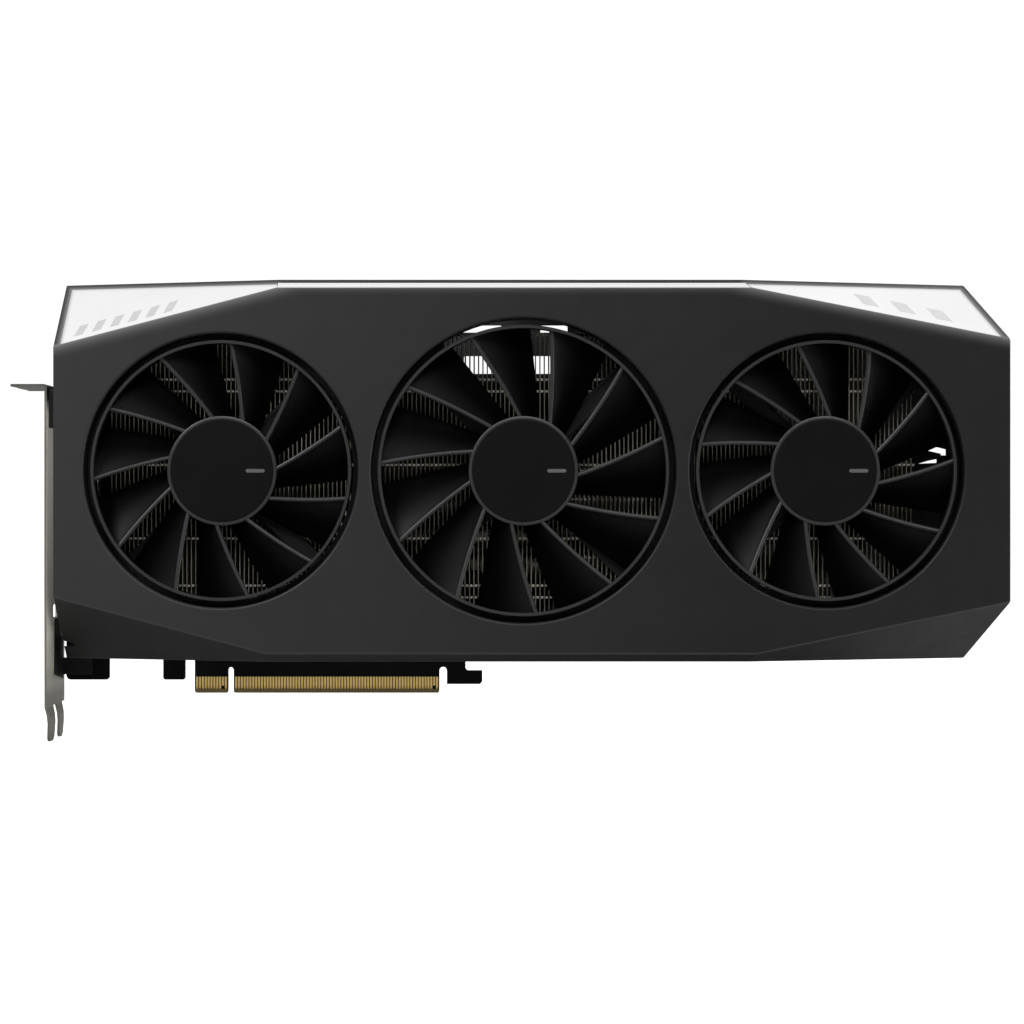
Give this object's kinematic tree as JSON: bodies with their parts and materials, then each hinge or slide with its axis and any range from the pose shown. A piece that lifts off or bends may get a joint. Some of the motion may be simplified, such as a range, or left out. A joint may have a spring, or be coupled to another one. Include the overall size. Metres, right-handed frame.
{
  "type": "graphics card",
  "caption": "Long black expansion card with a row of ducted fans, faceted shroud, lit white corner panels, slot bracket and edge connector.",
  "frame": {"origin": "centre of the edge connector's long tongue, on its bottom edge, in the middle of the board", "axes": "+X from the slot bracket to the far end, +Y from the fans to the backplate, +Z from the edge connector to the top edge"},
  "size_m": [0.3352, 0.0478, 0.1554],
  "materials": {
    "shell_plastic": "fine matt moulded black",
    "diffuser_plastic": "milky white light diffuser, lit from behind",
    "fan_plastic": "satin black with a soft sheen",
    "frame_plastic": "matt black",
    "circuit_board": "black solder mask",
    "gold_contact": "gold plate",
    "silicon": "polished silicon",
    "component_black": "moulded epoxy and nylon",
    "switch_plastic": "plain white nylon",
    "lead_rubber": "black sleeving",
    "fin_aluminium": "stamped sheet, slightly warm",
    "copper": "plain copper",
    "nickel_plate": "nickel-plated copper, dull",
    "port_steel": "plated sheet shell",
    "bracket_steel": "satin plated sheet",
    "fastener_steel": "dark plated steel",
    "backplate_metal": "fine black powder coat"
  },
  "bodies": {
    "card": {"shroud": "shell_plastic", "diffuser_left": "diffuser_plastic", "diffuser_strip": "diffuser_plastic", "diffuser_right": "diffuser_plastic", "left_fan_frame": "frame_plastic", "middle_fan_frame": "frame_plastic", "right_fan_frame": "frame_plastic", "pcb": "circuit_board", "led_board": "circuit_board", "gpu_substrate": "circuit_board", "edge_contacts_front_long": "gold_contact", "edge_contacts_front_short": "gold_contact", "edge_contacts_back_long": "gold_contact", "edge_contacts_back_short": "gold_contact", "gpu_die": "silicon", "memory_chip_1": "component_black", "memory_chip_2": "component_black", "memory_chip_3": "component_black", "memory_chip_4": "component_black", "choke_1": "component_black", "choke_2": "component_black", "fan_header": "component_black", "power_connector": "component_black", "bios_switch_body": "component_black", "fan_harness": "lead_rubber", "fin_stack": "fin_aluminium", "cold_plate": "nickel_plate", "heat_pipe_1": "nickel_plate", "heat_pipe_2": "nickel_plate", "heat_pipe_3": "nickel_plate", "heat_pipe_4": "nickel_plate", "left_stator": "copper", "middle_stator": "copper", "right_stator": "copper", "left_bearing": "copper", "middle_bearing": "copper", "right_bearing": "copper", "hdmi_port": "port_steel", "display_port_1": "port_steel", "display_port_2": "port_steel", "display_port_3": "port_steel", "io_bracket": "bracket_steel", "retention_plate": "fastener_steel", "cooler_screw_1": "fastener_steel", "cooler_screw_2": "fastener_steel", "cooler_screw_3": "fastener_steel", "cooler_screw_4": "fastener_steel", "bracket_screw_1": "fastener_steel", "bracket_screw_2": "fastener_steel", "backplate": "backplate_metal"},
    "left_fan": {"left_rotor": "fan_plastic", "left_hub_cap": "shell_plastic", "left_shaft": "fastener_steel"},
    "middle_fan": {"middle_rotor": "fan_plastic", "middle_hub_cap": "shell_plastic", "middle_shaft": "fastener_steel"},
    "right_fan": {"right_rotor": "fan_plastic", "right_hub_cap": "shell_plastic", "right_shaft": "fastener_steel"},
    "bios_switch": {"bios_switch_slider": "switch_plastic"}
  },
  "joints": [
    {"name": "left_fan_spin", "type": "hinge", "parent": "card", "child": "left_fan", "pos_m": [-0.0363, -0.035, 0.07684], "axis": [0, -1, 0], "continuous": true},
    {"name": "middle_fan_spin", "type": "hinge", "parent": "card", "child": "middle_fan", "pos_m": [0.06495, -0.035, 0.07684], "axis": [0, -1, 0], "continuous": true},
    {"name": "right_fan_spin", "type": "hinge", "parent": "card", "child": "right_fan", "pos_m": [0.1663, -0.035, 0.07684], "axis": [0, -1, 0], "continuous": true},
    {"name": "bios_switch_slide", "type": "slide", "parent": "card", "child": "bios_switch", "axis": [1, 0, 0], "range_m": [0, 0.0016]}
  ]
}
